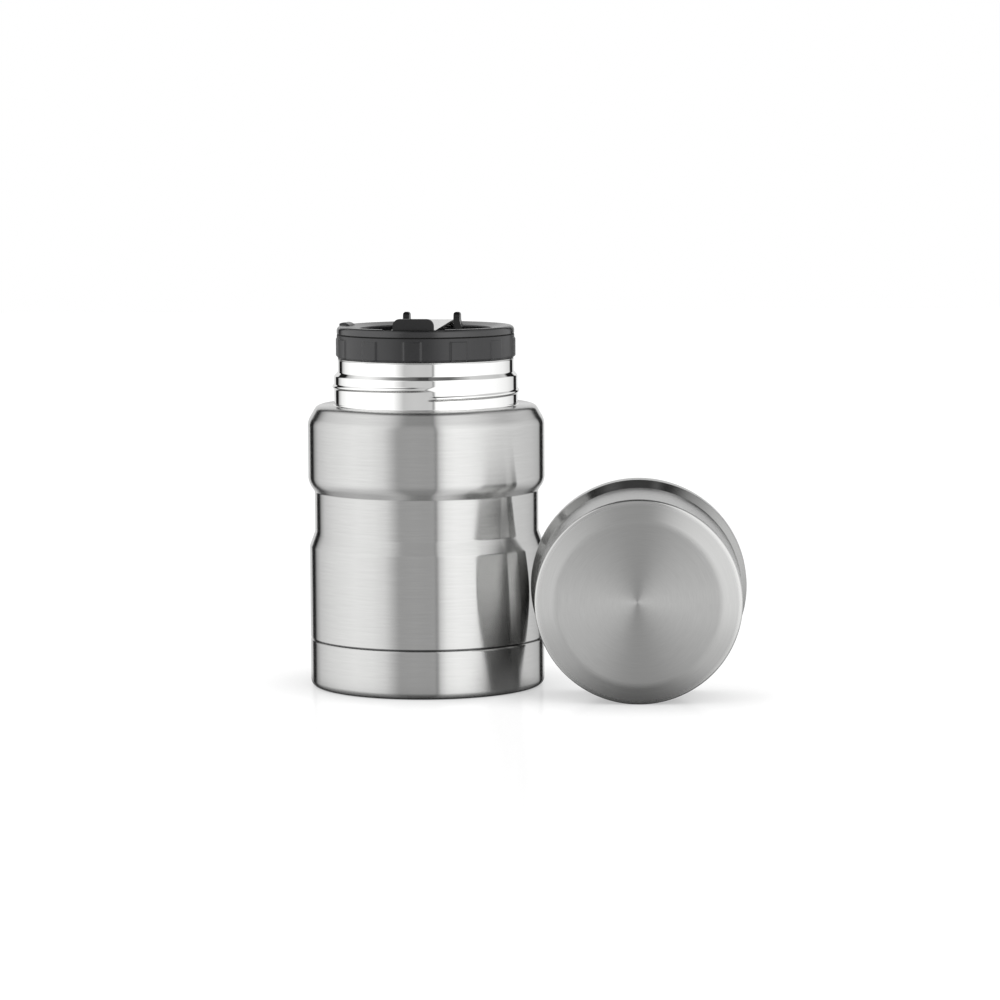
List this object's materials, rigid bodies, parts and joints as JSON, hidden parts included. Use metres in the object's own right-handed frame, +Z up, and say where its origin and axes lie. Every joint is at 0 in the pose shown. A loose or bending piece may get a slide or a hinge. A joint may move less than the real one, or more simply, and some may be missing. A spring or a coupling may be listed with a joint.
{
  "type": "insulated food jar",
  "caption": "Double-walled steel food jar with waisted body, threaded neck, screw-in stopper holding a folding spoon, and a steel cup lid lying beside it.",
  "frame": {"origin": "centre of the base's underside, where the jar's axis meets the surface that it stands on", "axes": "+Z up along the jar's axis, -Y towards the viewer, +X towards the side on which the cup lid lies"},
  "size_m": [0.1782, 0.1185, 0.1524],
  "materials": {
    "brushed_steel": "fine circumferential brushing; the neck is polished bright",
    "vessel_steel": "electropolished steel",
    "raw_steel": "plain pressed steel",
    "spoon_steel": "polished steel",
    "pin_steel": "polished pins and rivets",
    "solder": "dull sintered metal",
    "foil": "bright foil",
    "stopper_plastic": "moulded dark grey polypropylene, fine satin texture",
    "spoon_plastic": "moulded black plastic",
    "liner_plastic": "moulded dark polypropylene",
    "foam": "closed-cell foam",
    "silicone": "translucent silicone"
  },
  "bodies": {
    "jar": {"outer_shell": "brushed_steel", "base_cup": "brushed_steel", "inner_vessel": "vessel_steel", "vessel_bottom": "vessel_steel", "vacuum_plate": "raw_steel", "seal_bead": "solder", "getter": "solder", "foil_wrap": "foil"},
    "stopper": {"stopper_body": "stopper_plastic", "stopper_tray": "stopper_plastic", "stopper_foam": "foam", "plug_seal": "silicone"},
    "spoon": {"spoon_bowl": "spoon_steel", "spoon_yoke": "spoon_plastic", "hinge_pin": "pin_steel", "yoke_rivets": "pin_steel"},
    "spoon_handle": {"spoon_handle": "spoon_steel", "handle_tab": "spoon_plastic", "tab_rivets": "pin_steel"},
    "cup": {"cup_shell": "brushed_steel", "cup_liner": "liner_plastic", "cup_pad": "foam"}
  },
  "joints": [
    {"name": "stopper_lift", "type": "slide", "parent": "jar", "child": "stopper", "axis": [0, 0, 1], "range_m": [0, 0.05]},
    {"name": "spoon_lift", "type": "slide", "parent": "stopper", "child": "spoon", "axis": [0, 0, 1], "range_m": [0, 0.03]},
    {"name": "spoon_fold", "type": "hinge", "parent": "spoon", "child": "spoon_handle", "pos_m": [0.0024, 0.01824, 0.1475], "axis": [-0.9914, 0.1305, 0], "range_deg": [0, 170]},
    {"name": "cup_lift", "type": "slide", "parent": "jar", "child": "cup", "axis": [0, 0, 1], "range_m": [0, 0.12]}
  ]
}
